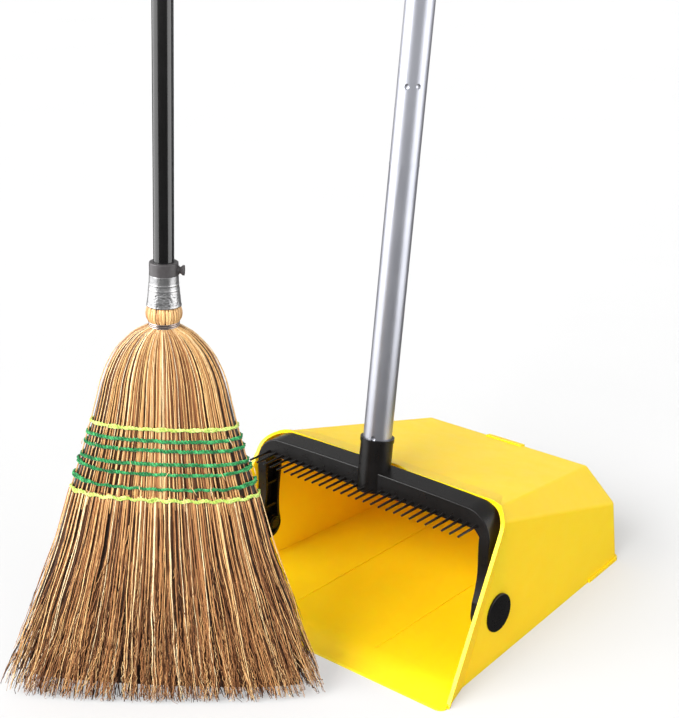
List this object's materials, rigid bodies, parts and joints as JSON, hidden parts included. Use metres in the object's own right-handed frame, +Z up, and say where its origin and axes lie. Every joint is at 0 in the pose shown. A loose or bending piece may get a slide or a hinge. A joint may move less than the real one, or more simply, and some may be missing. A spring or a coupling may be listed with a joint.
{
  "type": "dust pan and brush set",
  "caption": "Upright hooded dust pan on a hinged pole with a comb yoke, and a stitched corn broom with a tube handle standing in front of it.",
  "frame": {"origin": "bottom centre of the box round the whole set, on the floor", "axes": "+Z up, +Y from the lip of the pan towards its closed back, +X to the right of someone who stands in front of the lip and faces the pan"},
  "size_m": [0.331, 0.5944, 0.9893],
  "materials": {
    "pan_plastic": "glossy injection-moulded yellow plastic",
    "black_plastic": "satin black moulded plastic",
    "pole_aluminium": "satin drawn tube",
    "steel_parts": "plain turned steel",
    "grey_collar": "satin dark grey plastic",
    "ferrule_metal": "dull grey tinplate, crinkled lower half",
    "handle_black": "glossy black paint on thin steel tube",
    "corn_fibre": "dry straw-coloured plant fibre",
    "lime_twine": "bright lime twine",
    "green_twine": "twisted green twine",
    "binding_wire": "bright galvanised wire"
  },
  "bodies": {
    "broom_head": {"fibre_skirt": "corn_fibre", "fibre_shoulder": "corn_fibre", "fibre_throat": "corn_fibre", "stitch_row_1": "lime_twine", "stitch_row_2": "green_twine", "stitch_row_3": "green_twine", "stitch_row_4": "green_twine", "stitch_row_5": "green_twine", "stitch_row_6": "green_twine", "stitch_row_7": "lime_twine", "throat_wire": "binding_wire", "handle_collar": "grey_collar", "ferrule": "ferrule_metal"},
    "thumb_screw_body": {"thumb_screw": "grey_collar"},
    "broom_handle_body": {"broom_handle": "handle_black", "broom_handle_cap": "black_plastic"},
    "pole_base": {"yoke": "black_plastic", "comb_strip": "black_plastic", "pole_lower_tube": "pole_aluminium", "socket_screw": "steel_parts"},
    "pan": {"pan_shell": "pan_plastic", "pivot_cap_left": "black_plastic", "pivot_cap_right": "black_plastic", "pivot_ring_left": "black_plastic", "pivot_ring_right": "black_plastic"},
    "pole_top": {"pole_upper_tube": "pole_aluminium", "pole_coupling": "pole_aluminium", "pole_grip": "black_plastic", "grip_cap": "black_plastic"}
  },
  "joints": [
    {"name": "dustpan_lift", "type": "slide", "parent": "broom_head", "child": "pole_base", "axis": [0, 0, 1], "range_m": [0, 0.4]},
    {"name": "pan_swing", "type": "hinge", "parent": "pole_base", "child": "pan", "pos_m": [0.00074, 0.04114, 0.052], "axis": [-1, 0, 0], "range_deg": [0, 88]},
    {"name": "pole_top_pull", "type": "slide", "parent": "pole_base", "child": "pole_top", "axis": [0, 0.1333, 0.9911], "range_m": [0, 0.058]},
    {"name": "broom_handle_pull", "type": "slide", "parent": "broom_head", "child": "broom_handle_body", "axis": [0.0296, 0.0245, 0.9993], "range_m": [0, 0.07]},
    {"name": "thumb_screw_turn", "type": "hinge", "parent": "broom_head", "child": "thumb_screw_body", "pos_m": [-0.02354, -0.17899, 0.40199], "axis": [0.7695, 0.6375, -0.0384], "range_deg": [0, 900]}
  ],
  "couplings": [
    {"joint": "pan_swing", "follows": "dustpan_lift", "rad_per_m": 3.83}
  ]
}
